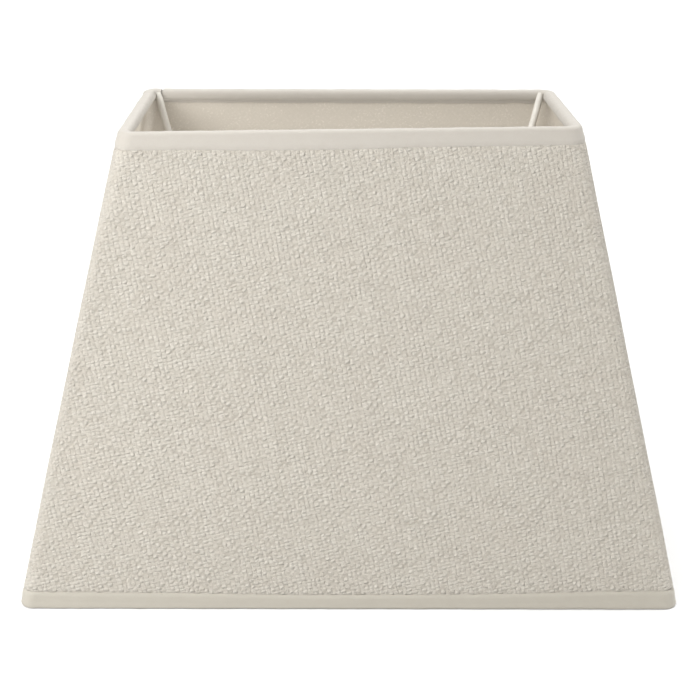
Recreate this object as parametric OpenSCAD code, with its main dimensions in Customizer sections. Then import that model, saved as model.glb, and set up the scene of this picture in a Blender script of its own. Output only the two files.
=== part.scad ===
// Rectangular tapered lamp shade. A single wrapped sheet of cloth on a thin film liner is carried
// by two wire frames, and folded tape binds its rims. Four bent arms drop from the corners of the
// top frame to a ring that takes the lampholder.
// Millimetres, +Z up. The origin is the middle of the base, on the surface the shade stands on.

/* [Shade] */
// Width over the bottom tape
bottom_w = 300; // [240:1:360]
// Depth over the bottom tape
bottom_d = 200; // [170:1:240]
// Width over the top tape; the four walls lean alike, so the top's depth follows from it
top_w = 205; // [190:1:220]
// Height over both tapes
shade_h = 210; // [160:1:260]
// Corner radius at the base
bottom_corner_r = 7; // [7:0.5:14]
// Corner radius at the top
top_corner_r = 8; // [8:0.5:12]

/* [Cover] */
// Thickness of the woven cloth
cloth_t = 0.8; // [0.6:0.1:1.2]
// Thickness of the film that the cloth is bonded to
liner_t = 0.4; // [0.3:0.1:0.6]
// Width of the lap where the sheet's ends meet, at the back left corner
lap_w = 10; // [8:1:14]
// Thickness of the glue line inside the lap
glue_t = 0.15; // [0.1:0.05:0.3]

/* [Tape] */
// Thickness of the folded tape
tape_t = 0.8; // [0.6:0.1:1]
// Height of the top tape on the outside
top_tape_h = 7.3; // [7:0.1:12]
// Height of the bottom tape on the outside
bottom_tape_h = 7.3; // [6:0.1:12]
// Height of either tape on the inside
inner_tape_h = 7; // [6.8:0.1:10]

/* [Frame and fitter] */
// Diameter of the frame and arm wire
wire_d = 3; // [2.5:0.1:3.2]
// Bore of the lampholder ring
ring_bore_d = 42; // [40:0.5:44]
// Outside diameter of the lampholder ring
ring_d = 58; // [54:1:64]
// Thickness of the lampholder ring
ring_t = 2; // [1.5:0.1:3]
// Depth of the ring's middle below the top of the shade
ring_drop = 40; // [30:1:60]
// Lean of each arm's steep part from the vertical
arm_lean = 19; // [8:1:20]
// Bend radius of each arm, on the wire's centre line
arm_bend_r = 8; // [6:1:12]

/* [Hidden] */

// Clearance between the tape and what it wraps, and between bonded or welded neighbours
fold_gap = 0.2;
touch_gap = 0.05;
corner_steps = 6;
fold_steps = 9;
wire_sides = 24;
bend_steps = 8;
overlap = 0.1;

wire_r = wire_d / 2;
wall_t = cloth_t + liner_t;
wrap_t = tape_t + fold_gap;

// Heights of the sheet's own edges, how far it leans in for each millimetre up, and the heights
// of the frame wires just inside the edges
sheet_bottom_z = wrap_t;
sheet_top_z = shade_h - wrap_t;
slope = (bottom_w - top_w) / 2 / (sheet_top_z - sheet_bottom_z);
bottom_wire_z = sheet_bottom_z + wire_r;
top_wire_z = sheet_top_z - wire_r;

// Place of a frame wire's centre, measured inwards from the cloth's outer face
wire_in = wall_t + wire_r / cos(atan(slope)) + touch_gap + 0.05;

// Half width, half depth and corner radius of the cloth's outer face at a height
function face_w(z) = bottom_w / 2 - wrap_t - slope * (z - sheet_bottom_z);
function face_d(z) = bottom_d / 2 - wrap_t - slope * (z - sheet_bottom_z);
function face_r(z) =
    let (base_r = bottom_corner_r - wrap_t, rim_r = top_corner_r - wrap_t)
    base_r + (rim_r - base_r) * (z - sheet_bottom_z) / (sheet_top_z - sheet_bottom_z);

// One level loop round the shade: off is the distance outside the cloth's outer face
function loop_points(off, z) = [
    for (corner = [0:3], step = [0:corner_steps])
        let (
            turn = 90 * (corner + step / corner_steps),
            sx = corner == 0 || corner == 3 ? 1 : -1,
            sy = corner < 2 ? 1 : -1,
            r = face_r(z) + off
        )
        [sx * (face_w(z) - face_r(z)) + r * cos(turn), sy * (face_d(z) - face_r(z)) + r * sin(turn), z]
];

// A closed band round the shade, from its section: a list of [off, z], anticlockwise
module band(section) {
    count = len(section);
    around = 4 * (corner_steps + 1);
    points = [for (p = section) each loop_points(p[0], p[1])];
    faces = [
        for (i = [0:count - 1], j = [0:around - 1])
            let (i2 = (i + 1) % count, j2 = (j + 1) % around)
            [i * around + j, i2 * around + j, i2 * around + j2, i * around + j2]
    ];
    polyhedron(points = points, faces = faces, convexity = 8);
}

// A strip on the back wall beside its left corner, from a to b along X and from near to far outwards
module back_strip(a, b, near, far, low, high) {
    points = [
        for (z = [low, high], off = [near, far], x = [a, b])
            [x - face_w(z) + face_r(z), face_d(z) + off, z]
    ];
    faces = [[0, 1, 3, 2], [4, 6, 7, 5], [0, 4, 5, 1], [2, 3, 7, 6], [0, 2, 6, 4], [1, 5, 7, 3]];
    polyhedron(points = points, faces = faces);
}

// A point of the fold round a frame wire, at a distance and an angle from the wire's centre.
// Angle 0 points out of the shade, and up turns the fold over: 1 at the top rim, -1 at the bottom.
function fold_point(r, angle, wire_z, up) =
    [-wire_in + r * cos(angle) + slope * up * r * sin(angle), wire_z + up * r * sin(angle)];

// Section of a tape folded over a rim. It rises outside, crosses the sheet's edge, wraps the wire
// and hangs a short way down the liner.
function tape_section(edge_z, wire_z, up, rim_z, outer_h) =
    let (
        outer_end = rim_z - up * outer_h,
        inner_end = rim_z - up * inner_tape_h,
        pinch = wire_z - up * (wire_r + fold_gap + 1.2),
        edge_turns = [0, 45, 90],
        fold_from = 90,
        fold_to = 250,
        fold_turns = [for (k = [0:fold_steps]) fold_from + (fold_to - fold_from) * k / fold_steps],
        outside = concat(
            [[wrap_t, outer_end]],
            [for (t = edge_turns) [wrap_t * cos(t), edge_z + up * wrap_t * sin(t)]],
            [for (t = fold_turns) fold_point(wire_r + wrap_t, t, wire_z, up)],
            [[-wall_t - touch_gap - tape_t, pinch - up * 0.5], [-wall_t - touch_gap - tape_t, inner_end]]
        ),
        inside = concat(
            [[fold_gap, outer_end]],
            [for (t = edge_turns) [fold_gap * cos(t), edge_z + up * fold_gap * sin(t)]],
            [for (t = fold_turns) fold_point(wire_r + fold_gap, t, wire_z, up)],
            [[-wall_t - touch_gap, pinch], [-wall_t - touch_gap, inner_end]]
        ),
        section = concat(outside, [for (k = [len(inside) - 1:-1:0]) inside[k]])
    )
    up > 0 ? section : [for (k = [len(section) - 1:-1:0]) section[k]];

// A wire bent to the outline of the sheet, at one height
module wire_loop(z)
    band([for (k = [0:wire_sides - 1]) fold_point(wire_r, 360 * k / wire_sides, z, 1)]);

// Where an arm meets the top frame: inside the middle of the wire's corner bend
arm_corner_x = face_w(top_wire_z) - face_r(top_wire_z);
arm_corner_y = face_d(top_wire_z) - face_r(top_wire_z);
arm_weld_r = face_r(top_wire_z) - wire_in - (wire_d + 0.1) / cos(arm_lean);
arm_x = arm_corner_x + arm_weld_r * cos(45);
arm_y = arm_corner_y + arm_weld_r * sin(45);
arm_turn = atan2(arm_y, arm_x);
arm_top_r = norm([arm_x, arm_y]);
arm_rise = 0.6;
slit_drop = 8;
ring_z = shade_h - ring_drop;
arm_knee_r = arm_top_r - (top_wire_z - ring_z) * tan(arm_lean);
arm_tangent = arm_bend_r * tan((90 - arm_lean) / 2);

// Stations along an arm's centre line in its own upright plane: distance out, height and heading.
// It runs level from the ring, bends up, and climbs steeply to just past the frame wire.
arm_path = concat(
    [[ring_d / 2 + touch_gap, ring_z, 0]],
    [
        for (k = [0:bend_steps])
            let (heading = (90 - arm_lean) * k / bend_steps)
            [
                arm_knee_r - arm_tangent + arm_bend_r * sin(heading),
                ring_z + arm_bend_r * (1 - cos(heading)),
                heading
            ]
    ],
    [[arm_top_r + arm_rise * sin(arm_lean), top_wire_z + arm_rise * cos(arm_lean), 90 - arm_lean]]
);

// Turns a shape in the arm's plane to the side of the shade that is asked for
module at_arm(x_side, y_side)
    mirror([x_side < 0 ? 1 : 0, 0, 0])
        mirror([0, y_side < 0 ? 1 : 0, 0])
            rotate(arm_turn)
                children();

// One arm: a round wire swept along the path
module fitter_arm(x_side, y_side) {
    points = [
        for (s = arm_path, k = [0:wire_sides - 1])
            let (turn = 360 * k / wire_sides)
            [
                s[0] - wire_r * cos(turn) * sin(s[2]),
                wire_r * sin(turn),
                s[1] + wire_r * cos(turn) * cos(s[2])
            ]
    ];
    last = (len(arm_path) - 1) * wire_sides;
    sides = [
        for (i = [0:len(arm_path) - 2], k = [0:wire_sides - 1])
            let (k2 = (k + 1) % wire_sides)
            [i * wire_sides + k, (i + 1) * wire_sides + k, (i + 1) * wire_sides + k2, i * wire_sides + k2]
    ];
    ends = [[for (k = [0:wire_sides - 1]) k], [for (k = [wire_sides - 1:-1:0]) last + k]];
    at_arm(x_side, y_side)
        polyhedron(points = points, faces = concat(sides, ends));
}

// The space that an arm's steep part needs where it passes through the tape's inner fold
module arm_slit(x_side, y_side)
    at_arm(x_side, y_side)
        translate([arm_top_r, 0, top_wire_z])
            rotate([0, arm_lean, 0])
                translate([0, 0, -slit_drop])
                    cylinder(h = slit_drop + arm_rise + fold_gap, r = wire_r + fold_gap, $fn = 32);

// The sheet of cloth, closed into a ring, with its free end lapped over at the back left corner
module cover_fabric() {
    low = bottom_tape_h + fold_gap;
    high = shade_h - top_tape_h - fold_gap;
    outer = glue_t + cloth_t;
    color([0.83, 0.8, 0.75]) {
        band([[-cloth_t, sheet_bottom_z], [0, sheet_bottom_z], [0, sheet_top_z], [-cloth_t, sheet_top_z]]);
        back_strip(0, lap_w, glue_t, outer, low, high);
        back_strip(0, 1.5, -overlap, outer, low, high);
    }
}

// The film bonded to the back of the cloth
module cover_liner()
    color([0.8, 0.76, 0.69])
        band([[-wall_t, sheet_bottom_z], [-cloth_t, sheet_bottom_z],
              [-cloth_t, sheet_top_z], [-wall_t, sheet_top_z]]);

// The line of glue inside the lap
module seam_adhesive()
    color([0.9, 0.88, 0.8])
        back_strip(2, lap_w - 0.5, 0.01, glue_t - 0.01, bottom_tape_h + 1, shade_h - top_tape_h - 1);

module top_frame_wire()
    color([0.93, 0.92, 0.9])
        wire_loop(top_wire_z);

module bottom_frame_wire()
    color([0.93, 0.92, 0.9])
        wire_loop(bottom_wire_z);

module fitter_arm_front_left()
    color([0.93, 0.92, 0.9])
        fitter_arm(-1, -1);

module fitter_arm_front_right()
    color([0.93, 0.92, 0.9])
        fitter_arm(1, -1);

module fitter_arm_back_left()
    color([0.93, 0.92, 0.9])
        fitter_arm(-1, 1);

module fitter_arm_back_right()
    color([0.93, 0.92, 0.9])
        fitter_arm(1, 1);

// The flat ring that the lampholder passes through
module lampholder_ring()
    color([0.93, 0.92, 0.9])
        translate([0, 0, ring_z - ring_t / 2])
            difference() {
                cylinder(h = ring_t, d = ring_d, $fn = 96);
                translate([0, 0, -1])
                    cylinder(h = ring_t + 2, d = ring_bore_d, $fn = 96);
            }

// The tape on the top rim, slit where each arm passes through its inner fold
module top_trim_tape()
    color([0.85, 0.82, 0.77])
        difference() {
            band(tape_section(sheet_top_z, top_wire_z, 1, shade_h, top_tape_h));
            for (x_side = [-1, 1], y_side = [-1, 1])
                arm_slit(x_side, y_side);
        }

// The tape on the bottom rim; its flat underside is what the shade stands on
module bottom_trim_tape()
    color([0.78, 0.75, 0.7])
        band(tape_section(sheet_bottom_z, bottom_wire_z, -1, 0, bottom_tape_h));

cover_fabric();
cover_liner();
seam_adhesive();
top_frame_wire();
bottom_frame_wire();
fitter_arm_front_left();
fitter_arm_front_right();
fitter_arm_back_left();
fitter_arm_back_right();
lampholder_ring();
top_trim_tape();
bottom_trim_tape();
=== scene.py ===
"""Looks of a rectangular tapered lamp shade: woven cover on a film liner, taped rims and a wire fitter.

Everything is in metres in the CAD's frame: +Z up, -Y to the front, the origin in the middle of the
base. Each soft piece is swept round the shade in columns. A column is an upright line on the wall,
and off is the distance outside the cloth's outer face, measured level.
"""

import math

import bmesh
import bpy
import numpy as np
from mathutils import Matrix, Vector


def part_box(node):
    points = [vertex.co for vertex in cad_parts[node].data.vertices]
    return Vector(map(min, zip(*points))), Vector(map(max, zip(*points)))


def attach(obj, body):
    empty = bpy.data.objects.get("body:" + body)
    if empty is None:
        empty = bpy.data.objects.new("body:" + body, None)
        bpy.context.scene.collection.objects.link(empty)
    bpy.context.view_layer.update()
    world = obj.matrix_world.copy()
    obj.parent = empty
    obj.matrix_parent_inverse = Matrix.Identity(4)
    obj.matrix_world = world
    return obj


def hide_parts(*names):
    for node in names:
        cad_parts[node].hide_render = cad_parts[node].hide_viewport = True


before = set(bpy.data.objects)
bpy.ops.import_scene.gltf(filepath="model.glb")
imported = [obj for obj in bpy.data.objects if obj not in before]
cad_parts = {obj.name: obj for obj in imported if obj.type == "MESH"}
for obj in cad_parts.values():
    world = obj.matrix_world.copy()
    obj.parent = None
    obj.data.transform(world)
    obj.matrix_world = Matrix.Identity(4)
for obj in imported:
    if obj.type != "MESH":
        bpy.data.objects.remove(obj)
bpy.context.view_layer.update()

MM = 0.001
SEED = 7

# Sizes that the CAD has too
CLOTH_T = 0.8 * MM
LINER_T = 0.4 * MM
WALL_T = CLOTH_T + LINER_T
TAPE_T = 0.8 * MM
FOLD_GAP = 0.2 * MM
GLUE_T = 0.15 * MM
WIRE_R = 1.5 * MM
BOTTOM_R = 6 * MM
TOP_R = 7 * MM
LAP_W = 10 * MM
BOTTOM_TAPE_H = 7.3 * MM
INNER_TAPE_H = 7 * MM
KNEE_R = 8 * MM

# Sizes of the looks alone: the top tape's height, how much tighter the sheet folds round the corners,
# and how far the soft cloth stands out, which it gains between two distances outside a tape's edge
TOP_TAPE_H = 7.4 * MM
CORNER_PINCH = 2.6 * MM
LOFT = 1.2 * MM
LOFT_FROM = -1.6 * MM
LOFT_TO = 0.8 * MM

# Edges that turn more than this stay sharp
SHARP_ANGLE = math.radians(40)

# The way a column faces, in degrees anticlockwise from +X: on the front, and at the front right corner
FACING_FRONT = 270
FACING_CORNER = 315

# Across the front, from -1 at the left to 1 at the right: how much taller each tape is, in millimetres
TOP_EDGE = ((-1, -0.7, -0.45, 0, 0.25, 0.5, 1), (0.1, 0.1, 0.7, 0.6, 0.1, -0.1, -0.1))
BOTTOM_EDGE = ((-1, -0.5, -0.15, 0.2, 0.5, 0.8, 1), (0.7, 0.1, -0.7, -0.5, 0.1, 1.2, 1.3))

# The outer leg of a tape from its edge inwards: distance, and how far its face stands off the wall
HEM_AT = np.array([0, 0.4, 1.0, 1.8, 3.0, 4.5, 7.0]) * MM
HEM_FACE = np.array([0.95, 1.05, 1.2, 1.3, 1.2, 1.05, 1.0]) * MM

# How far the front top edge of the real shade stands off level at its left and right ends, how far
# those ends are from the middle, and the depth over which this fades out towards the back
RIM_LEFT = -1.4 * MM
RIM_RIGHT = 1.5 * MM
RIM_REACH = 95 * MM
RIM_FADE = 104 * MM

# Laps: how far past the corner one settles onto the wall, where a tape's two ends stop, and how its
# outer end grows from a share of the tape's thickness to all of it and stands out over the hidden end
LAP_SETTLE = 13 * MM
TAPE_LEAD = 0.3 * MM
TAPE_TAIL = 1.0 * MM
TAPE_THIN_TO = 4.5 * MM
TAPE_THIN_SHARE = 0.12
TAPE_LIFT = 0.35 * TAPE_T

# Sizes of a tape's pleats and ripples, and the play between the film and the cloth
PLEAT_SIZE = 0.16 * MM
RIPPLE_SIZE = 0.05 * MM
FILM_PLAY = 0.1 * MM

# Rows of a tape's section, as shares of its outer leg and of its fold. The fold's rows reach the crest
# of the rim at CREST_T, which lies CREST_REACH of the way along it. Then the leg's lift over the soft
# cloth, and how its two edges round off
LEG_EDGE_T = (0, 0.006, 0.014, 0.026, 0.045, 0.075, 0.12, 0.18)
FOLD_END_T = (0.94, 0.965, 0.983, 0.994, 1.0)
CREST_REACH = 0.26
CREST_T = 0.3
HEM_LOFT = 0.62
OUTER_ROUNDING = 2.6
THINNEST = 0.05

# Snips in the top tape's inner fold round the arms: the most of the fold that one can take, the share
# of that at the front corners, on the side walls at the back and on the back wall, and their reach
# along the side walls and along the front and back
SNIP_REACH = 0.58
SNIP_FRONT = 0.45
SNIP_LEFT_BACK = 0.9
SNIP_RIGHT_BACK = 0.3
SNIP_BACK = 0.15
SNIP_ON_SIDE_W = 2.4 * MM
SNIP_ON_LONG_W = 1.6 * MM
SNIP_FADE = 0.7 * MM

# The fitter's arms: the radius with its coating, the outward bow, how far a tip sits above its CAD
# place, how deep the vertices of a CAD tip reach, and how much an arm turns (in radians) and bows
# out of true. Then half the size of a weld bead
COATED_R = 1.72 * MM
ARM_BOW = 1.1 * MM
TIP_FRONT = -0.5 * MM
TIP_BACK = 1.1 * MM
TIP_DEPTH = 1.05 * MM
ARM_TURN_ERROR = 0.002
ARM_BOW_ERROR = 0.25 * MM
WELD_SIZE = (1.6 * MM, 1.3 * MM, 1.25 * MM)

# Thread spacing of the cloth across its two sets of threads, in millimetres, and their lean off square
WARP_PITCH = 2.10
WEFT_PITCH = 1.588
WARP_LEAN = math.radians(-1.85)
WEFT_LEAN = math.radians(-0.88)
KNOT_SHARE = 1.3
RELIEF = 1.82

# The world, the near lights with their powers in watts and places, and the distant lights with their
# strengths and the directions that they come from
WORLD_STRENGTH = 0.32
WORLD_SEEN = 1.1
WORLD_COLOR = (1, 0.978, 0.93, 1)
COOL_WHITE = (0.98, 0.99, 1.0)
FILL_POWER = 3.35
FILL_AT = (-0.40, -0.47, 0.44)
INSIDE_POWER = 0.24
INSIDE_AT = (0, 0, 0.004)
CORNER_POWER = 0.007
CORNER_AT = (-0.045, -0.03, 0.11)
CORNER_SPREAD = math.radians(52)
KEY_STRENGTH = 1.3
KEY_FROM = (-0.63, -0.62, 0.46)
SIDE_STRENGTH = 1.5
SIDE_FROM = (0.95, 0.12, 0.28)
TOP_STRENGTH = 0.35
TOP_FROM = (-0.25, -0.55, 0.80)
BACK_STRENGTH = 3.5
BACK_FROM = (0.11, 0.36, 0.93)

# The floor's half width and height, and the photograph's camera: film width and lens in millimetres
FLOOR_HALF = 9.0
FLOOR_Z = -0.0001
FILM_W = 36.0
LENS = 76.287
CAMERA_AT = Vector((-2.23, -689.78, 339.89)) * MM
CAMERA_PITCH = math.radians(19.903)
CAMERA_YAW = math.radians(0.147)
CAMERA_ROLL = math.radians(0.163)


# ---------------------------------------------------------------- the wall's shape

def box_half(node):
    """Half width, half depth and middle height of a CAD node."""
    low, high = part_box(node)
    return (high.x - low.x) / 2, (high.y - low.y) / 2, (high.z + low.z) / 2


SHADE_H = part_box("top_trim_tape")[1].z
SHEET_Z0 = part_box("cover_fabric")[0].z
SHEET_Z1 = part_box("cover_fabric")[1].z
BASE_W, BASE_D, _ = box_half("cover_liner")
BASE_W, BASE_D = BASE_W + CLOTH_T, BASE_D + CLOTH_T
LOW_WIRE_W, _, LOW_WIRE_Z = box_half("bottom_frame_wire")
TOP_WIRE_W, _, TOP_WIRE_Z = box_half("top_frame_wire")
SLOPE = (LOW_WIRE_W - TOP_WIRE_W) / (TOP_WIRE_Z - LOW_WIRE_Z)
WIRE_IN = BASE_W - SLOPE * (LOW_WIRE_Z - SHEET_Z0) - (LOW_WIRE_W - WIRE_R)


def wall(z):
    """Half width, half depth and corner radius of the cloth's outer face at height z.

    The sheet folds more tightly between the rims. The last number is how much tighter.
    """
    lean = SLOPE * (z - SHEET_Z0)
    share = (z - SHEET_Z0) / (SHEET_Z1 - SHEET_Z0)
    pinch = CORNER_PINCH * np.sin(math.pi * np.clip(share, 0, 1)) ** 0.7
    return BASE_W - lean, BASE_D - lean, BOTTOM_R + (TOP_R - BOTTOM_R) * share - pinch, pinch


def handmade(points):
    """Lowers the left of the front rim and lifts its right, fading out to the back and the base."""
    x, y, z = points[..., 0], points[..., 1], points[..., 2]
    front = np.clip(0.5 - y / RIM_FADE, 0, 1)
    share = np.clip(0.5 + x / (2 * RIM_REACH), -0.05, 1.05)
    out = points.copy()
    rise = np.clip(z / SHADE_H, 0, 1.02) ** 3
    out[..., 2] += (RIM_LEFT + (RIM_RIGHT - RIM_LEFT) * share) * front * rise
    return out


# A column is (cx, cy, angle, dx): the corner-centre factors, the way it faces, and a shift along X

def run(cx, cy, angle, count):
    """Columns along a straight side, from one corner to the next, without the last."""
    even = np.arange(count) / count
    t = 0.4 * even + 0.6 * (1 - np.cos(math.pi * even)) / 2
    return [(cx[0] + (cx[1] - cx[0]) * k, cy[0] + (cy[1] - cy[0]) * k, angle, 0.0) for k in t]


def bend(cx, cy, angle, count):
    """Columns round a corner through 90 degrees, without the last."""
    return [(cx, cy, angle + 90 * k / count, 0.0) for k in range(count)]


def columns(lead, tail, long_count, short_count, corner_count):
    """Columns anticlockwise from the lapped end on the back wall, once round, to the back wall again.

    lead is how far the lapped end reaches past the back left corner, and tail how far short of that
    corner the hidden end stops.
    """
    lead_count = max(4, int(lead / (0.8 * MM)))
    found = [(-1, 1, 90, lead * (1 - k / lead_count)) for k in range(lead_count)]
    found += bend(-1, 1, 90, corner_count) + run((-1, -1), (1, -1), 180, short_count)
    found += bend(-1, -1, 180, corner_count) + run((-1, 1), (-1, -1), 270, long_count)
    found += bend(1, -1, 270, corner_count) + run((1, 1), (-1, 1), 360, short_count)
    found += bend(1, 1, 360, corner_count)
    found += [(c[0], c[1], c[2], tail * k / long_count)
              for k, c in enumerate(run((1, -1), (1, 1), 450, long_count))]
    found.append((-1, 1, 450, tail))
    return np.array(found, float)


def place(cols, off, z):
    """Points of each column at distance off and height z. off and z are rows by columns."""
    half_w, half_d, radius, pinch = wall(z)
    cx, cy, angle, dx = cols.T
    turn = np.radians(angle)
    x = cx * (half_w - radius) + (radius + off) * np.cos(turn) + dx * (1 + pinch / LAP_W)
    y = cy * (half_d - radius) + (radius + off) * np.sin(turn)
    return np.stack(np.broadcast_arrays(x, y, z), -1)


def along(cols, z):
    """Distance of each column from the first, round the shade at height z."""
    points = place(cols, 0.0, np.full(len(cols), z))
    steps = np.linalg.norm(np.diff(points, axis=0), axis=1)
    return np.concatenate([[0], np.cumsum(steps)])


def unroll(cols):
    """Lays the wall flat. Returns each column's bottom and top point in the plane.

    The second axis of the plane is the grain, which runs up the middle of the front right corner.
    """
    low = place(cols, 0.0, np.full(len(cols), SHEET_Z0))
    high = place(cols, 0.0, np.full(len(cols), SHEET_Z1))
    middle = int(np.argmin(np.abs(cols[:, 2] - FACING_CORNER)))
    flat_low, flat_high = np.zeros((len(cols), 2)), np.zeros((len(cols), 2))
    flat_high[middle] = [0, np.linalg.norm(high[middle] - low[middle])]

    def third(a, b, from_a, from_b, side):
        """The point at those distances from a and b, on the left (+1) or right (-1) of a to b."""
        across = b - a
        gap = np.linalg.norm(across)
        s = (from_a ** 2 - from_b ** 2 + gap ** 2) / (2 * gap)
        h = math.sqrt(max(from_a ** 2 - s ** 2, 0.0))
        across = across / gap
        return a + across * s + side * h * np.array([-across[1], across[0]])

    for way in (1, -1):
        i = middle
        while 0 <= i + way < len(cols):
            j = i + way
            a, b = flat_low[i], flat_high[i]
            for flat, corner in ((flat_low, low[j]), (flat_high, high[j])):
                from_low, from_high = np.linalg.norm(corner - low[i]), np.linalg.norm(corner - high[i])
                flat[j] = third(a, b, from_low, from_high, -way)
            i = j
    return flat_low, flat_high


# ---------------------------------------------------------------- meshes

def waves(at, lengths, sizes, phases):
    """A sum of sine waves along a distance: gentle handmade unevenness."""
    return sum(a * np.sin(2 * math.pi * at / w + p) for w, a, p in zip(lengths, sizes, phases))


def ramp(x, start, end):
    """Smooth step from 0 at start to 1 at end."""
    t = np.clip((x - start) / (end - start), 0, 1)
    return t * t * (3 - 2 * t)


def loft(outside):
    """How far the soft cloth stands out, at a distance outside a tape's edge."""
    return LOFT * ramp(outside, LOFT_FROM, LOFT_TO)


def front_share(cols):
    """1 for columns on the front and 0 elsewhere, and the place from -1 to 1 across the width."""
    x = place(cols, 0.0, np.full(len(cols), SHADE_H / 2))[:, 0]
    return (np.abs(cols[:, 2] - FACING_FRONT) < 50).astype(float), np.clip(x / wall(SHADE_H / 2)[0], -1, 1)


def add_object(name, data):
    """A new object of the given data, linked into the scene."""
    made = bpy.data.objects.new(name, data)
    bpy.context.scene.collection.objects.link(made)
    return made


def new_piece(name, vertices, faces, material):
    """A mesh object of the given vertices and faces, smooth except over sharp edges."""
    mesh = bpy.data.meshes.new(name)
    mesh.from_pydata(np.asarray(vertices).reshape(-1, 3).tolist(), [], faces)
    mesh.update()
    mesh.polygons.foreach_set("use_smooth", [True] * len(mesh.polygons))
    mesh.set_sharp_from_angle(angle=SHARP_ANGLE)
    mesh.materials.append(material)
    return add_object(name, mesh)


def grid_faces(rows, cols, first, flip):
    """Quads of a grid of vertices that starts at index first."""
    i, j = np.meshgrid(np.arange(rows - 1), np.arange(cols - 1), indexing="ij")
    a = first + (i * cols + j).ravel()
    quads = np.stack([a, a + 1, a + cols + 1, a + cols], 1)
    return (quads[:, ::-1] if flip else quads).tolist()


def wrapped_faces(rows, count, closed):
    """Quads of a grid whose rows are rings. closed also joins the last row to the first."""
    last = rows if closed else rows - 1
    return [(i * count + j, i * count + (j + 1) % count, (i + 1) % rows * count + (j + 1) % count,
             (i + 1) % rows * count + j) for i in range(last) for j in range(count)]


def sheet_piece(name, outer, inner, material, flat):
    """A thin closed solid between two grids of points. flat is each point's place in the flat cloth."""
    rows, cols = outer.shape[:2]
    count = rows * cols
    faces = grid_faces(rows, cols, 0, False) + grid_faces(rows, cols, count, True)
    bottom, top = np.arange(cols), (rows - 1) * cols + np.arange(cols)
    left, right = np.arange(rows) * cols, np.arange(rows) * cols + cols - 1
    for edge, flip in ((bottom, True), (top, False), (left, False), (right, True)):
        strip = np.stack([edge[:-1], edge[1:], edge[1:] + count, edge[:-1] + count], 1)
        faces += (strip[:, ::-1] if flip else strip).tolist()
    points = handmade(np.concatenate([outer.reshape(-1, 3), inner.reshape(-1, 3)]))
    piece = new_piece(name, points, faces, material)
    fix_normals(piece)
    layer = piece.data.attributes.new("flat", "FLOAT_VECTOR", "POINT")
    layer.data.foreach_set("vector", np.concatenate([flat.reshape(-1, 3)] * 2).ravel())
    return piece


def fix_normals(piece):
    """Turns every face outwards."""
    mesh = bmesh.new()
    mesh.from_mesh(piece.data)
    bmesh.ops.recalc_face_normals(mesh, faces=mesh.faces)
    mesh.to_mesh(piece.data)
    mesh.free()


def declare(piece, replaced):
    """The piece rides on the shade's one body and stands for a CAD node, if one is named."""
    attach(piece, "root")
    if replaced:
        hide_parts(replaced)
    return piece


# ---------------------------------------------------------------- shader helpers

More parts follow.
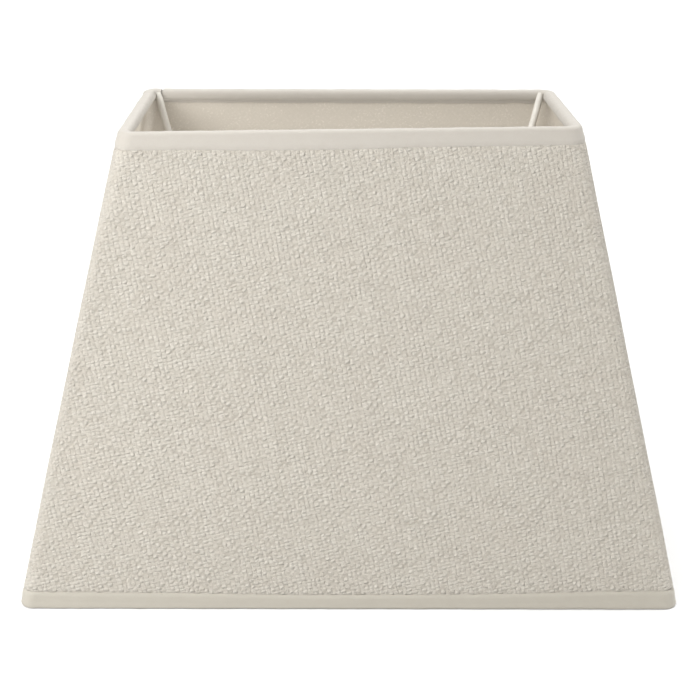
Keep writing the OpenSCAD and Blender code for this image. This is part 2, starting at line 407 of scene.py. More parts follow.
class Graph:
    """Builds one material's nodes. Inputs may be numbers or sockets."""

    def __init__(self, name):
        self.material = bpy.data.materials.new(name)
        self.material.use_nodes = True
        self.tree = self.material.node_tree
        self.shader = self.tree.nodes["Principled BSDF"]

    def node(self, kind, **settings):
        made = self.tree.nodes.new(kind)
        for key, value in settings.items():
            setattr(made, key, value)
        return made

    def put(self, socket, value):
        if isinstance(value, bpy.types.NodeSocket):
            self.tree.links.new(value, socket)
        else:
            socket.default_value = value

    def math(self, operation, *values):
        made = self.node("ShaderNodeMath", operation=operation)
        for socket, value in zip(made.inputs, values):
            self.put(socket, value)
        return made.outputs[0]

    def add(self, a, b):
        return self.math("ADD", a, b)

    def sub(self, a, b):
        return self.math("SUBTRACT", a, b)

    def mul(self, a, b):
        return self.math("MULTIPLY", a, b)

    def vector(self, x, y, z=0.0):
        made = self.node("ShaderNodeCombineXYZ")
        for socket, value in zip(made.inputs, (x, y, z)):
            self.put(socket, value)
        return made.outputs[0]

    def split(self, value):
        made = self.node("ShaderNodeSeparateXYZ")
        self.put(made.inputs[0], value)
        return made.outputs

    def attribute(self, name):
        return self.node("ShaderNodeAttribute", attribute_name=name).outputs["Vector"]

    def place(self):
        """The place on the piece, in metres."""
        return self.node("ShaderNodeTexCoord").outputs["Object"]

    def noise(self, at, scale, detail=2.0, rough=0.5, channel="Fac"):
        """Cloudy noise. Its Color channel holds three separate noises."""
        made = self.node("ShaderNodeTexNoise")
        self.put(made.inputs["Vector"], at)
        made.inputs["Scale"].default_value = scale
        made.inputs["Detail"].default_value = detail
        made.inputs["Roughness"].default_value = rough
        return made.outputs[channel]

    def random(self, at):
        """One random number from 0 to 1 for each whole-number place."""
        made = self.node("ShaderNodeTexWhiteNoise", noise_dimensions="3D")
        self.put(made.inputs["Vector"], at)
        return made.outputs["Value"]

    def rescale(self, value, low, high, to_low, to_high):
        made = self.node("ShaderNodeMapRange")
        self.put(made.inputs["Value"], value)
        limits = {"From Min": low, "From Max": high, "To Min": to_low, "To Max": to_high}
        for name, number in limits.items():
            made.inputs[name].default_value = number
        return made.outputs["Result"]

    def mix(self, amount, low, high):
        """Blends two colours. Each may be a colour or a socket."""
        made = self.node("ShaderNodeMix", data_type="RGBA")
        self.put(made.inputs["Factor"], amount)
        for key, value in (("A", low), ("B", high)):
            socket = [s for s in made.inputs if s.name == key and s.type == "RGBA"][0]
            self.put(socket, value if isinstance(value, bpy.types.NodeSocket) else (*value, 1))
        return [s for s in made.outputs if s.type == "RGBA"][0]

    def bump(self, height, strength=1.0):
        """A bump whose height is in metres."""
        made = self.node("ShaderNodeBump")
        made.inputs["Strength"].default_value = strength
        made.inputs["Distance"].default_value = 1.0
        self.put(made.inputs["Height"], height)
        self.put(self.shader.inputs["Normal"], made.outputs["Normal"])

    def finish(self, color, roughness, specular=0.3, sheen=0.0, sheen_rough=0.5):
        self.put(self.shader.inputs["Base Color"], color)
        self.put(self.shader.inputs["Roughness"], roughness)
        self.shader.inputs["Specular IOR Level"].default_value = specular
        self.shader.inputs["Sheen Weight"].default_value = sheen
        self.shader.inputs["Sheen Roughness"].default_value = sheen_rough
        return self.material


def drift(g, at, uneven):
    """How far the threads wander sideways along each axis: slow noise and finer noise."""
    wobble = g.split(g.noise(at, 0.11, 3.0, 0.6, "Color"))
    fine = g.split(g.noise(at, 0.5, 1.0, 0.5, "Color"))
    return [g.add(g.mul(g.sub(wobble[k], 0.5), 1.3 * uneven), g.mul(g.sub(fine[k], 0.5), 0.5 * uneven))
            for k in (0, 1)]


def thread_size(g, number, lengthwise, offset):
    """Thickness of a thread: each has its own, and slubs come and go along it."""
    spot = g.vector(g.mul(number, 7.31), g.mul(lengthwise, 0.22), offset)
    own = g.random(g.vector(number, offset, 0.5))
    slub = g.rescale(g.noise(spot, 1.0, 2.0), 0.3, 0.7, 0.72, 1.28)
    return g.add(slub, g.mul(g.sub(own, 0.5), 0.2))


def crown(g, across, size, width, phase, crimp, bulge):
    """Round top of a thread that rises and falls along its length."""
    part = g.math("DIVIDE", across, g.mul(size, width))
    rounded = g.math("SQRT", g.math("MAXIMUM", g.sub(1.0, g.mul(part, part)), 0.0))
    rise = g.math("COSINE", g.mul(phase, math.pi))
    return g.add(g.mul(g.mul(rounded, size), bulge), g.mul(rise, crimp))


def weave(g, at, warp_pitch, weft_pitch, crimps, bulges, uneven):
    """Height in millimetres of a plain weave, and a random value for each crossing.

    at is the place in the cloth in millimetres. Warp threads run up the second axis and weft threads
    along the first. crimps is how far warp and weft rise and fall, and bulges how far they
    stand out round.
    """
    x, y, _ = g.split(at)
    along_x = g.add(g.mul(x, math.cos(WARP_LEAN)), g.mul(y, math.sin(WARP_LEAN)))
    along_y = g.add(g.mul(y, math.cos(WEFT_LEAN)), g.mul(x, math.sin(WEFT_LEAN)))
    drift_x, drift_y = drift(g, at, uneven)
    s = g.math("DIVIDE", g.add(along_x, drift_x), warp_pitch)
    t = g.math("DIVIDE", g.add(along_y, drift_y), weft_pitch)
    i, j = g.math("FLOOR", s), g.math("FLOOR", t)
    across_s = g.sub(g.sub(s, i), 0.5)
    across_t = g.sub(g.sub(t, j), 0.5)
    warp_size, weft_size = thread_size(g, i, t, 1.5), thread_size(g, j, s, 4.5)
    warp_phase = g.add(g.sub(t, 0.5), i)
    weft_phase = g.add(g.add(g.sub(s, 0.5), j), 1.0)
    warp = crown(g, across_s, warp_size, 0.5, warp_phase, crimps[0], bulges[0])
    weft = crown(g, across_t, weft_size, 0.52, weft_phase, crimps[1], bulges[1])
    crossing_rise = g.random(g.vector(i, j, 2.5))
    hump_s, hump_t = (g.math("COSINE", g.mul(across, math.pi)) for across in (across_s, across_t))
    lift = g.mul(g.mul(g.sub(crossing_rise, 0.5), KNOT_SHARE * crimps[0]), g.mul(hump_s, hump_t))
    return g.add(g.math("SMOOTH_MAX", warp, weft, 0.04), lift), crossing_rise


# ---------------------------------------------------------------- materials

def cloth_material():
    """Thick off-white plain weave with uneven threads."""
    g = Graph("woven_cloth")
    at = g.attribute("flat")
    height, crossing_rise = weave(g, at, WARP_PITCH, WEFT_PITCH,
                         crimps=(0.225, 0.105), bulges=(0.25, 0.15), uneven=1.4)
    lumps = g.sub(g.noise(at, 0.85, 3.0, 0.62), 0.5)
    fuzz = g.sub(g.noise(at, 1.7, 3.0, 0.7), 0.5)
    height_for_pit_shade = g.rescale(height, -0.06, 0.22, 0.0, 1.0)
    # Darker where the weave is low: painted shade in the pits between the threads, lighter on the crowns
    color = g.mix(height_for_pit_shade, (0.336, 0.304, 0.253), (0.462, 0.428, 0.374))
    blotch = g.rescale(g.noise(at, 0.035, 2.0), 0.35, 0.65, 0.0, 1.0)
    color = g.mix(g.mul(blotch, 0.25), color, (0.444, 0.400, 0.345))
    # Crossings that stand higher are made lighter: a painted highlight on the raised crossings
    color = g.mix(g.mul(g.math("POWER", crossing_rise, 2.0), 0.3), color, (0.60, 0.572, 0.513))
    g.bump(g.mul(g.add(g.add(height, g.mul(fuzz, 0.26)), g.mul(lumps, 0.46)), RELIEF * MM))
    roughness = g.rescale(height_for_pit_shade, 0, 1, 0.95, 0.8)
    return g.finish(color, roughness, specular=0.25, sheen=0.12)


def tape_material(name, tone, warmth=1.0):
    """Smooth fine bias tape: its threads cross the tape at 45 degrees. tone scales its colour.

    warmth below 1 takes some of the blue out.
    """
    g = Graph(name)
    x, y, _ = g.split(g.attribute("flat"))
    turned = g.vector(g.mul(g.add(x, y), math.sqrt(0.5)), g.mul(g.sub(y, x), math.sqrt(0.5)))
    height, _ = weave(g, turned, 0.36, 0.36, crimps=(0.016, 0.016), bulges=(0.03, 0.03), uneven=0.1)
    soft = g.noise(turned, 0.25, 3.0, 0.55)
    height_for_pit_shade = g.rescale(height, -0.01, 0.045, 0.0, 1.0)
    dark, light, pale = ((red * tone, green * tone, blue * tone * warmth) for red, green, blue in (
        (0.535, 0.492, 0.435), (0.575, 0.534, 0.475), (0.605, 0.566, 0.51)))
    # Darker in the tape's low places: painted shade in the pits of its weave, lighter on the crowns
    color = g.mix(height_for_pit_shade, dark, light)
    color = g.mix(g.rescale(soft, 0.3, 0.7, 0.0, 0.3), color, pale)
    g.bump(g.mul(g.add(height, g.mul(soft, 0.12)), MM))
    return g.finish(color, 0.72, specular=0.35, sheen=0.14)


def liner_material():
    """Matt film. The weave behind it shows through as faint relief and light specks."""
    g = Graph("liner_film")
    at = g.attribute("flat")
    height, _ = weave(g, at, WARP_PITCH, WEFT_PITCH,
                      crimps=(0.04, 0.02), bulges=(0.05, 0.04), uneven=1.5)
    crumbs = g.noise(at, 0.95, 2.0, 0.6)
    patches = g.rescale(g.noise(at, 0.08, 2.0), 0.42, 0.58, 0.35, 1.0)
    speck = g.mul(g.rescale(crumbs, 0.55, 0.66, 0.0, 1.0), patches)
    shade = g.rescale(height, -0.01, 0.06, 0.0, 1.0)
    # Darker where the relief is low: painted shade in the pits of the weave behind the film
    color = g.mix(shade, (0.435, 0.398, 0.342), (0.458, 0.42, 0.363))
    color = g.mix(g.mul(speck, 0.4), color, (0.66, 0.62, 0.56))
    grain = g.sub(g.noise(at, 1.7, 3.0, 0.65), 0.5)
    g.bump(g.mul(g.add(height, g.mul(grain, 0.12)), MM), strength=0.75)
    return g.finish(color, 0.55, specular=0.4)


def coating_material(name, speck_scale):
    """White powder coating: slight orange peel, a little uneven in gloss."""
    g = Graph(name)
    at = g.place()
    peel = g.noise(at, speck_scale, 3.0, 0.6)
    worn = g.noise(at, 140.0, 3.0, 0.6)
    color = g.mix(g.rescale(worn, 0.35, 0.7, 0.0, 1.0), (0.545, 0.522, 0.476), (0.60, 0.577, 0.531))
    g.bump(g.mul(peel, 0.06 * MM))
    return g.finish(color, g.rescale(worn, 0.3, 0.7, 0.5, 0.62), specular=0.35)


def glue_material():
    """Dried glue, slightly yellow."""
    g = Graph("dried_glue")
    tone = g.noise(g.place(), 300.0, 3.0)
    color = g.mix(tone, (0.70, 0.66, 0.54), (0.82, 0.79, 0.68))
    g.bump(g.mul(tone, 0.1 * MM))
    return g.finish(color, 0.5, specular=0.4)


def floor_material():
    """Plain pale studio floor."""
    g = Graph("studio_floor")
    tone = g.noise(g.place(), 3.0, 2.0)
    color = g.mix(tone, (0.70, 0.70, 0.70), (0.72, 0.72, 0.72))
    return g.finish(color, 0.9, specular=0.1)


# ---------------------------------------------------------------- soft pieces

def flat_grid(cols, rows_t):
    """Place of each grid point in the flat cloth, in millimetres."""
    low, high = unroll(cols)
    t = rows_t[:, None, None]
    plane = (low[None] * (1 - t) + high[None] * t) / MM
    return np.concatenate([plane, np.zeros(plane.shape[:2] + (1,))], 2)


def cut_size(cols):
    """Width, length and area of the flat cut, in metres."""
    low, high = unroll(cols)
    both = np.concatenate([low, high])
    size = both.max(0) - both.min(0)
    ring = np.concatenate([low, high[::-1]])
    after = np.roll(ring, -1, 0)
    area = abs((ring[:, 0] * after[:, 1] - after[:, 0] * ring[:, 1]).sum()) / 2
    return (float(size[0]), float(size[1])), float(area)


def graded_rows(count):
    """Heights from 0 to 1 of a sheet's rows, closer together near its two edges."""
    near = np.linspace(0, 0.075, 18)
    middle = np.linspace(0.075, 0.925, count - 34)[1:-1]
    return np.concatenate([near, middle, 1 - near[::-1]])


def sheet_heights(rows_t, cols):
    """Height of each grid point of a sheet that covers the wall, by row and column."""
    return SHEET_Z0 + (SHEET_Z1 - SHEET_Z0) * rows_t[:, None] + np.zeros((1, len(cols)))


def make_cover(material):
    """The cloth: one sheet, wrapped once round, its outer end lapped over the back left corner."""
    cols = columns(lead=LAP_W, tail=0.6 * MM, long_count=150, short_count=96, corner_count=12)
    t = graded_rows(96)
    z = sheet_heights(t, cols)
    at = along(cols, SHADE_H / 2)[None, :]
    lift = (GLUE_T + CLOTH_T) * (1 - ramp(at, LAP_W, LAP_W + LAP_SETTLE))
    lift = lift + 0.25 * MM * np.exp(-at / (1.2 * MM)) * np.sin(z / (17 * MM)) ** 2
    low_edge = bottom_height(cols, at[0] - LAP_W)[None, :]
    high_edge = SHADE_H - top_height(cols, at[0] - LAP_W)[None, :]
    lofted = np.minimum(loft(z - low_edge), loft(high_edge - z))
    calm = np.sin(math.pi * t[:, None]) ** 0.5
    sizes = (0.10 * MM, 0.06 * MM, 0.03 * MM)
    broad = waves(at + 0.3 * z, (0.062, 0.037, 0.021), sizes, (0.4, 2.1, 5.0)) * np.sin(z / 0.033 + 5 * at)
    uneven = calm * (broad + 0.05 * MM * np.sin(z / 0.009 + 40 * at))
    outer = place(cols, lift + lofted + uneven, z)
    inner = place(cols, lift + uneven * 0.3 - CLOTH_T, z)
    piece = sheet_piece("woven_cover", outer, inner, material, flat_grid(cols, t))
    declare(piece, "cover_fabric")
    size, area = cut_size(cols)
    return piece


def make_liner(material):
    """The film behind the cloth, butted at the seam."""
    cols = columns(lead=0.1 * MM, tail=0.15 * MM, long_count=60, short_count=40, corner_count=8)
    t = np.linspace(0, 1, 60)
    z = sheet_heights(t, cols)
    at = along(cols, SHADE_H / 2)[None, :]
    ripple = 0.12 * MM * np.sin(math.pi * t[:, None]) * np.sin(at / 0.028 + 1.0) * np.sin(z / 0.037)
    ripple = np.maximum(ripple, 0)
    outer = place(cols, -CLOTH_T - FILM_PLAY, z)
    inner = place(cols, -WALL_T - FILM_PLAY - ripple, z)
    piece = sheet_piece("film_liner", outer, inner, material, flat_grid(cols, t))
    declare(piece, "cover_liner")
    size, area = cut_size(cols)
    return piece


def fold_path(edge_z, wire_z, up):
    """Middle line of a tape's section from the rim's edge, round the wire, to its inner leg's end.

    Returns rows of (off, z) at even spacing, and the distance of each along the line.
    """
    middle = FOLD_GAP + TAPE_T / 2
    rim_arc = [[middle * math.cos(a), edge_z + up * middle * math.sin(a)]
               for a in np.radians(np.linspace(0, 90, 7))]

    def round_wire(a):
        """Point at angle a round the wire, in a section that leans with the wall."""
        r = WIRE_R + middle
        return [-WIRE_IN + r * math.cos(a) + SLOPE * up * r * math.sin(a), wire_z + up * r * math.sin(a)]

    wire_arc = [round_wire(a) for a in np.radians(np.linspace(90, 246, 16))]
    leg = -WALL_T - 0.15 * MM - TAPE_T / 2
    rim_z = edge_z + up * (FOLD_GAP + TAPE_T)
    tail = [[leg - 0.25 * MM, wire_z - up * 2.75 * MM], [leg, wire_z - up * 3.3 * MM],
            [leg, rim_z - up * INNER_TAPE_H]]
    points = np.array(rim_arc + wire_arc + tail)
    at = np.concatenate([[0], np.cumsum(np.linalg.norm(np.diff(points, axis=0), axis=1))])
    even = np.linspace(0, at[-1], 60)
    smooth = np.stack([np.interp(even, at, points[:, k]) for k in (0, 1)], 1)
    for _ in range(3):
        smooth[1:-1] = (smooth[:-2] + 2 * smooth[1:-1] + smooth[2:]) / 4
    return smooth, even


def tape_rows(cols, up, edge_z, wire_z, rim_z, outer_h, cut):
    """Middle surface of a tape: off and z by row and column, its half thickness, and the way along it.

    outer_h is the outer leg's height at each column, and cut the share of the inner fold that is
    snipped away there.
    """
    path, reach = fold_path(edge_z, wire_z, up)
    leg_t = np.concatenate([LEG_EDGE_T, np.linspace(0.24, 0.93, 10)])
    end_z = rim_z - up * outer_h
    leg_z = end_z[None, :] + (edge_z - end_z)[None, :] * leg_t[:, None]
    leg_in = np.abs(leg_z - end_z[None, :])
    face = np.interp(leg_in, HEM_AT, HEM_FACE)
    back = FOLD_GAP + HEM_LOFT * loft(-leg_in)
    leg_off, leg_half = (face + back) / 2, (face - back) / 2

    fold_t = np.concatenate([np.linspace(0, 0.9, 24), FOLD_END_T])[:, None]
    crest = CREST_REACH * reach[-1]
    end = (reach[-1] - cut * (SNIP_REACH * reach[-1]))[None, :]
    past_crest = crest + (fold_t - CREST_T) / (1 - CREST_T) * (end - crest)
    distance = np.where(fold_t < CREST_T, fold_t * crest / CREST_T, past_crest)
    fold_off = np.interp(distance, reach, path[:, 0])
    fold_z = np.interp(distance, reach, path[:, 1])

    off = np.concatenate([leg_off, fold_off])
    z = np.concatenate([leg_z, fold_z])
    steps = np.sqrt(np.diff(off, axis=0) ** 2 + np.diff(z, axis=0) ** 2)
    at = np.concatenate([np.zeros((1, len(cols))), np.cumsum(steps, axis=0)])
    half = np.concatenate([leg_half, np.full_like(fold_z, TAPE_T / 2)])
    from_end = np.minimum(at * OUTER_ROUNDING, at[-1:] - at)
    edge = np.clip(from_end / (TAPE_T / 2), 0, 1)
    return off, z, half * np.sqrt(np.maximum(1 - (1 - edge) ** 2, THINNEST ** 2)), at


def tape_piece(name, cols, off, z, half, at, lift, material):
    """A tape from its middle surface: lift moves each column off the shade along its normal."""
    straight = off - SLOPE * z
    d_off = np.gradient(straight, axis=0)
    d_z = np.gradient(z, axis=0)
    length = np.sqrt(d_off ** 2 + d_z ** 2) + 1e-12
    n_off, n_z = d_z / length, -d_off / length
    if n_off[3].mean() < 0:
        n_off, n_z = -n_off, -n_z
    outer = place(cols, off + n_off * (half + lift), np.maximum(z + n_z * (half + lift), 0))
    inner = place(cols, off + n_off * (lift - half), np.maximum(z + n_z * (lift - half), 0.05 * MM))
    around = along(cols, float(z.mean()))
    flat = np.stack([np.broadcast_to(around / MM, at.shape), at / MM, np.zeros(at.shape)], 2)
    return sheet_piece(name, outer, inner, material, flat)


def arm_slit(cols):
    """Share of the inner fold that is snipped away beside each arm, falling to 0 further off.

    Each snip reaches further along the side walls than along the front and back. The one
    at the back left is the most open.
    """
    inner = place(cols, -WIRE_IN - WIRE_R, np.full(len(cols), TOP_WIRE_Z))[:, :2]
    corner = place(np.array([[1, 1, 45, 0.0]]), -WIRE_IN - WIRE_R, np.array([TOP_WIRE_Z]))[0, :2]
    away = np.hypot(*(np.abs(inner) - corner).T)
    on_side = np.abs(inner[:, 0]) > corner[0]
    width = np.where(on_side, SNIP_ON_SIDE_W, SNIP_ON_LONG_W)
    back_side = np.where(inner[:, 0] < 0, SNIP_LEFT_BACK, SNIP_RIGHT_BACK)
    share = np.where(inner[:, 1] < 0, SNIP_FRONT, np.where(on_side, back_side, SNIP_BACK))
    return share * (1 - ramp(away, width, width + SNIP_FADE))


def corner_share(cols):
    """1 in the middle of each corner's bend and 0 on the straight sides."""
    return np.sin(np.radians(cols[:, 2] % 90) * 2) ** 2


def puckers(cols, at, size):
    """Small pleats round the corners, which grow towards the tape's two edges."""
    share = corner_share(cols)[None, :]
    turn = np.radians(cols[:, 2])[None, :]
    near_edge = (np.abs(at / at.max() - 0.45) / 0.55) ** 2
    pleat = np.sin(turn * 22) * 0.6 + np.sin(turn * 31 + 1.3) * 0.4
    return size * share * near_edge * pleat


def make_tape(name, up, rim_z, edge_z, wire_z, outer_h, snip, node, material):
    """A bias tape folded over one rim. Its outer end laps its hidden end at the back left corner."""
    cols = columns(lead=TAPE_LEAD, tail=TAPE_TAIL, long_count=190, short_count=120, corner_count=26)
    around = along(cols, rim_z)
    height = outer_h(cols, along(cols, SHADE_H / 2) - TAPE_LEAD)
    cut = snip * arm_slit(cols) + 0.015 * waves(around, (0.019, 0.043), (1.0, 1.0), (0.3, 1.9))
    off, z, half, at = tape_rows(cols, up, edge_z, wire_z, rim_z, height, np.clip(cut, -0.03, 1))
    lap_end = TAPE_LEAD + LAP_SETTLE
    half = half * (TAPE_THIN_SHARE + (1 - TAPE_THIN_SHARE) * ramp(around, 0.0, TAPE_THIN_TO)[None, :])
    lift = TAPE_LIFT * (1 - ramp(around, lap_end - 3 * MM, lap_end + 3 * MM))[None, :]
    ripple = waves(around + 0.2 * at, (0.031, 0.0127, 0.0071), (1.0, 0.7, 0.5), (0.0, 1.0, 2.0))
    lift = lift + puckers(cols, at, PLEAT_SIZE) + RIPPLE_SIZE * ripple
    piece = tape_piece(name, cols, off, z, half, at, lift, material)
    declare(piece, node)
    return piece


def ragged(around):
    """Short unevenness of a tape's edge, where it was pressed into the thick cloth."""
    return waves(around, (0.0091, 0.0063, 0.0047), (0.09 * MM, 0.08 * MM, 0.07 * MM), (0.0, 1.1, 2.3))


def top_height(cols, around):
    """Height of the top tape's outer leg at each column: tallest left of the front's middle."""
    front, across = front_share(cols)
    shape = np.interp(across, TOP_EDGE[0], TOP_EDGE[1]) * MM
    wavy = waves(around, (0.27, 0.11, 0.041), (0.25 * MM, 0.12 * MM, 0.06 * MM), (1.0, 0.0, 2.0))
    return TOP_TAPE_H + front * shape + wavy * (1 - 0.8 * front) + ragged(around)


def bottom_height(cols, around):
    """Height of the bottom tape's outer leg at each column: lowest near the front's middle."""
    front, across = front_share(cols)
    shape = np.interp(across, BOTTOM_EDGE[0], BOTTOM_EDGE[1]) * MM
    wavy = waves(around, (0.21, 0.097, 0.037), (0.3 * MM, 0.15 * MM, 0.06 * MM), (0.0, 2.0, 1.0))
    rest_up = (1 - front) * 0.5 * MM
    return BOTTOM_TAPE_H + front * shape + rest_up + wavy * (1 - 0.8 * front) + ragged(around)


# ---------------------------------------------------------------- hard pieces

def dress_node(node, material):
    """Gives a CAD node a detailed material. Its shape stays as it is."""
    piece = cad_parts[node]
    piece.data.materials.clear()
    piece.data.materials.append(material)


def ring_line():
    """Height and outer radius of the lampholder ring."""
    low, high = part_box("lampholder_ring")
    return (low.z + high.z) / 2, high.x


def fitter_arms():
    """Name and vertices of each CAD arm, in the order of their names."""
    for node in sorted(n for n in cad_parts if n.startswith("fitter_arm")):
        yield node, np.array([v.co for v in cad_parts[node].data.vertices])


def make_rim_wire(material):
    """The top frame wire, bent with the rim that it carries."""
    cols = columns(lead=0.5 * MM, tail=-0.5 * MM, long_count=60, short_count=40, corner_count=12)[:-1]
    turns = np.linspace(0, 2 * math.pi, 24, endpoint=False)[:, None]
    off = -WIRE_IN + WIRE_R * np.cos(turns) + SLOPE * WIRE_R * np.sin(turns) + np.zeros((1, len(cols)))
    z = TOP_WIRE_Z + WIRE_R * np.sin(turns) + np.zeros((1, len(cols)))
    points = handmade(place(cols, off, z))
    piece = new_piece("rim_wire", points, wrapped_faces(*points.shape[:2], closed=True), material)
    fix_normals(piece)
    return declare(piece, "top_frame_wire")


def tube(path, radii, sides=20):
    """Vertices and faces of a round tube with closed ends, with its own radius at each point of a path."""
    path = np.array(path)
    ahead = np.gradient(path, axis=0)
    ahead /= np.linalg.norm(ahead, axis=1)[:, None]
    level = np.cross(ahead, [0, 0, 1.0])
    level /= np.linalg.norm(level, axis=1)[:, None]
    other = np.cross(level, ahead)
    turn = np.linspace(0, 2 * math.pi, sides, endpoint=False)
    ring = level[:, None] * np.cos(turn)[None, :, None] + other[:, None] * np.sin(turn)[None, :, None]
    points = path[:, None] + ring * np.array(radii)[:, None, None]
    faces = wrapped_faces(len(path), sides, closed=False)
    faces += [tuple(range(sides)), tuple((len(path) - 1) * sides + j for j in reversed(range(sides)))]
    return points.reshape(-1, 3), faces


def arm_path(top, level_r, ring_z, ring_r):
    """Middle line of one arm in its own upright plane: down from the rim, round the knee, and in."""
    knee = np.array([level_r, ring_z])
    steep = top - knee
    steep /= np.linalg.norm(steep)
    half = (math.pi - math.acos(-steep[0])) / 2
    tangent = KNEE_R * math.tan(half)
    inwards = steep + np.array([-1, 0])
    middle = knee + inwards / np.linalg.norm(inwards) * KNEE_R / math.cos(half)
    start, end = knee + steep * tangent, knee + np.array([-tangent, 0])
    turn_start = math.atan2(*(start - middle)[::-1])
    turn_end = math.atan2(*(end - middle)[::-1])
    if turn_start < turn_end - math.pi:
        turn_start += 2 * math.pi
    elif turn_start > turn_end + math.pi:
        turn_start -= 2 * math.pi
    arc = [middle + KNEE_R * np.array([math.cos(a), math.sin(a)])
           for a in np.linspace(turn_start, turn_end, 16)]
    down = [top + (start - top) * k for k in np.linspace(0, 1, 16)[:-1]]
    along_level = [end + (np.array([ring_r, ring_z]) - end) * k for k in np.linspace(0, 1, 24)[1:]]
    return np.array(down + arc + along_level)


def level_end(points):
    """Where an arm's steep line would meet its level line: the corner that its knee rounds off."""
    reach = np.hypot(points[:, 0], points[:, 1])
    level_z = points[:, 2].min() + WIRE_R
    top = points[:, 2] > points[:, 2].max() - TIP_DEPTH
    bottom_of_steep = (points[:, 2] > level_z + 4 * MM) & (points[:, 2] < level_z + 12 * MM)
    if not bottom_of_steep.any():
        return reach[top].mean() - math.tan(math.radians(19)) * (points[top, 2].mean() - level_z)
    low_r, low_z = reach[bottom_of_steep].mean(), points[bottom_of_steep, 2].mean()
    lean = (reach[top].mean() - low_r) / (points[top, 2].mean() - low_z)
    return low_r - lean * (low_z - level_z)


def make_arms(material):
    """The four arms of the fitter. Each is a little out of true, as hand-welded arms are."""
    rng = np.random.default_rng(SEED)
    ring_z, ring_r = ring_line()
    for node, points in fitter_arms():
        sign = np.sign(points[np.argmax(points[:, 2])][:2])
        rim = points[points[:, 2] > points[:, 2].max() - TIP_DEPTH].mean(0)
        out = np.hypot(rim[0], rim[1])
        tip = TIP_FRONT if "front" in node else TIP_BACK
        flat = arm_path(np.array([out, rim[2] + tip]), level_end(points), ring_z, ring_r)
        angle = math.atan2(abs(rim[1]), abs(rim[0])) + rng.normal(0, ARM_TURN_ERROR)
        bow = rng.normal(0, ARM_BOW_ERROR) * np.sin(np.linspace(0, math.pi, len(flat)))
        steep = np.clip((flat[0, 1] - flat[:, 1]) / (flat[0, 1] - ring_z), 0, 1)
        flat[:, 0] += ARM_BOW * np.sin(math.pi * steep)
        path = np.stack([sign[0] * (flat[:, 0] * math.cos(angle) - bow * math.sin(angle)),
                         sign[1] * (flat[:, 0] * math.sin(angle) + bow * math.cos(angle)),
                         flat[:, 1]], 1)
        radii = np.full(len(path), COATED_R)
        radii[:3] = [0.75 * COATED_R, 0.95 * COATED_R, COATED_R]
        shape, faces = tube(handmade(path), radii)
        piece = new_piece("wire_" + node, shape, faces, material)
        fix_normals(piece)
        declare(piece, node)


def bead(mesh, spot, size, turn, rng):
    """One lumpy weld bead."""
    made = bmesh.ops.create_icosphere(mesh, subdivisions=3, radius=1.0)
    phase = rng.random() * 6
    for v in made["verts"]:
        lumpy = 1 + 0.10 * math.sin(4 * v.co.x + phase) + 0.07 * math.sin(6 * v.co.y + 2 * phase)
        v.co = Vector((v.co.x * size[0], v.co.y * size[1], v.co.z * size[2])) * lumpy
    bmesh.ops.transform(mesh, matrix=Matrix.Translation(spot) @ turn, verts=made["verts"])


def make_welds(material):
    """Weld beads, one on each side of every joint of an arm with the ring."""
    rng = np.random.default_rng(SEED + 1)
    mesh = bmesh.new()
    ring_z, ring_r = ring_line()
    for _, points in fitter_arms():
        foot = points[np.argsort(np.hypot(points[:, 0], points[:, 1]))[:24]].mean(0)
        angle = math.atan2(foot[1], foot[0])
        out = np.array([math.cos(angle), math.sin(angle)])
        side = np.array([-out[1], out[0]])
        turn = Matrix.Rotation(angle, 4, "Z")
        for way in (-1, 1):
            spot = out * (ring_r + 0.5 * MM) + side * way * 1.1 * MM
            bead(mesh, (spot[0], spot[1], ring_z), WELD_SIZE, turn, rng)
    data = bpy.data.meshes.new("weld_beads")
    mesh.to_mesh(data)
    mesh.free()
    data.polygons.foreach_set("use_smooth", [True] * len(data.polygons))
    data.materials.append(material)
    return declare(add_object("weld_beads", data), None)


# ---------------------------------------------------------------- stage

def make_floor(material):
    """A plain pale floor, big enough for every view."""
    mesh = bmesh.new()
    bmesh.ops.create_grid(mesh, x_segments=2, y_segments=2, size=FLOOR_HALF)
    data = bpy.data.meshes.new("studio_floor")
    mesh.to_mesh(data)
    mesh.free()
    data.materials.append(material)
    floor = add_object("studio_floor", data)
    floor.location = (0, 0, FLOOR_Z)


def area_light(name, place_at, target, size, power, color=(1, 1, 1)):
    """A square soft light that faces its target."""
    data = bpy.data.lights.new(name, "AREA")
    data.energy, data.size, data.color = power, size, color
    light = add_object(name, data)
    light.location = place_at
    light.rotation_euler = (Vector(target) - Vector(place_at)).to_track_quat("-Z", "Y").to_euler()
    return light


def sun_light(name, towards, strength, angle, color=(1, 1, 1)):
    """A distant light in the given direction from the shade, as wide as angle in degrees."""
    data = bpy.data.lights.new(name, "SUN")
    data.energy, data.angle, data.color = strength, math.radians(angle), color
    light = add_object(name, data)
    light.rotation_euler = Vector(towards).to_track_quat("Z", "Y").to_euler()


def make_world():
    """Warm white surroundings. They look as pale as the floor but light the shade more weakly."""
    world = bpy.data.worlds.new("studio")
    world.use_nodes = True
    tree = world.node_tree
    sky = tree.nodes["Background"]
    sky.inputs["Color"].default_value = WORLD_COLOR
    seen = tree.nodes.new("ShaderNodeMapRange")
    seen.inputs["To Min"].default_value = WORLD_STRENGTH
    seen.inputs["To Max"].default_value = WORLD_SEEN
    path = tree.nodes.new("ShaderNodeLightPath")
    tree.links.new(path.outputs["Is Camera Ray"], seen.inputs["Value"])
    tree.links.new(seen.outputs["Result"], sky.inputs["Strength"])
    bpy.context.scene.world = world


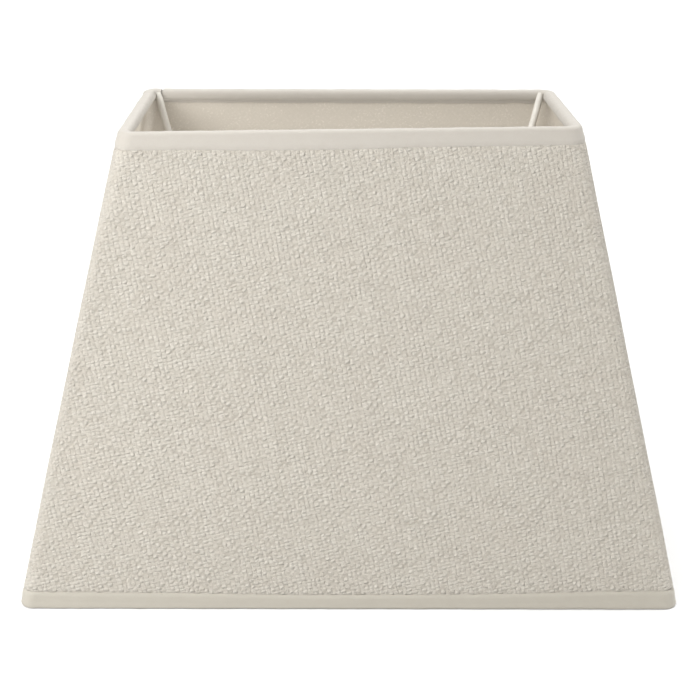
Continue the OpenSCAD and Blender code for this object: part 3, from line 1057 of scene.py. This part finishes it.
def make_lights():
    """A near fill and four distant lights outside the shade, and two unseen weak lights inside it."""
    area_light("fill", FILL_AT, (-0.05, -0.07, 0.1), 0.3, FILL_POWER, COOL_WHITE)
    inside = area_light("inside_fill", INSIDE_AT, (0, 0, 0.2), 0.16, INSIDE_POWER)
    corner = area_light("corner_fill", CORNER_AT, (-0.100, 0.048, 0.190), 0.05, CORNER_POWER)
    corner.data.spread = CORNER_SPREAD
    inside.visible_camera = corner.visible_camera = False
    sun_light("key", KEY_FROM, KEY_STRENGTH, 40)
    sun_light("side", SIDE_FROM, SIDE_STRENGTH, 16)
    sun_light("top", TOP_FROM, TOP_STRENGTH, 50)
    sun_light("back", BACK_FROM, BACK_STRENGTH, 80, COOL_WHITE)


def make_camera():
    """The photograph's view: from the front, a little above the shade's top."""
    data = bpy.data.cameras.new("camera")
    data.sensor_width, data.lens = FILM_W, LENS
    camera = add_object("camera", data)
    level = math.cos(CAMERA_PITCH)
    ahead = Vector((math.sin(CAMERA_YAW) * level, math.cos(CAMERA_YAW) * level, -math.sin(CAMERA_PITCH)))
    right = Vector((math.cos(CAMERA_YAW), -math.sin(CAMERA_YAW), 0))
    up = right.cross(ahead)
    cos_roll, sin_roll = math.cos(CAMERA_ROLL), math.sin(CAMERA_ROLL)
    right, up = right * cos_roll + up * sin_roll, up * cos_roll - right * sin_roll
    turn = Matrix((right, up, -ahead)).transposed()
    camera.matrix_world = Matrix.Translation(CAMERA_AT) @ turn.to_4x4()
    bpy.context.scene.camera = camera


def main():
    """Builds the stage, every piece and its materials."""
    bpy.context.scene.view_settings.view_transform = "Standard"
    make_camera()
    wire = coating_material("coated_wire", 2500.0)
    make_cover(cloth_material())
    make_liner(liner_material())
    make_tape("top_tape", 1, SHADE_H, SHEET_Z1, TOP_WIRE_Z, top_height, 1.0, "top_trim_tape",
              tape_material("top_bias_tape", 0.635))
    # The bottom tape's copy is a little darker, partly painted shade and partly its own tone, and a little
    # less blue
    make_tape("bottom_tape", -1, 0.0, SHEET_Z0, LOW_WIRE_Z, bottom_height, 0.0, "bottom_trim_tape",
              tape_material("bottom_bias_tape", 0.62, 0.96))
    make_rim_wire(wire)
    dress_node("bottom_frame_wire", wire)
    dress_node("lampholder_ring", coating_material("coated_ring", 1800.0))
    dress_node("seam_adhesive", glue_material())
    make_arms(wire)
    make_welds(wire)
    make_floor(floor_material())
    make_world()
    make_lights()


main()
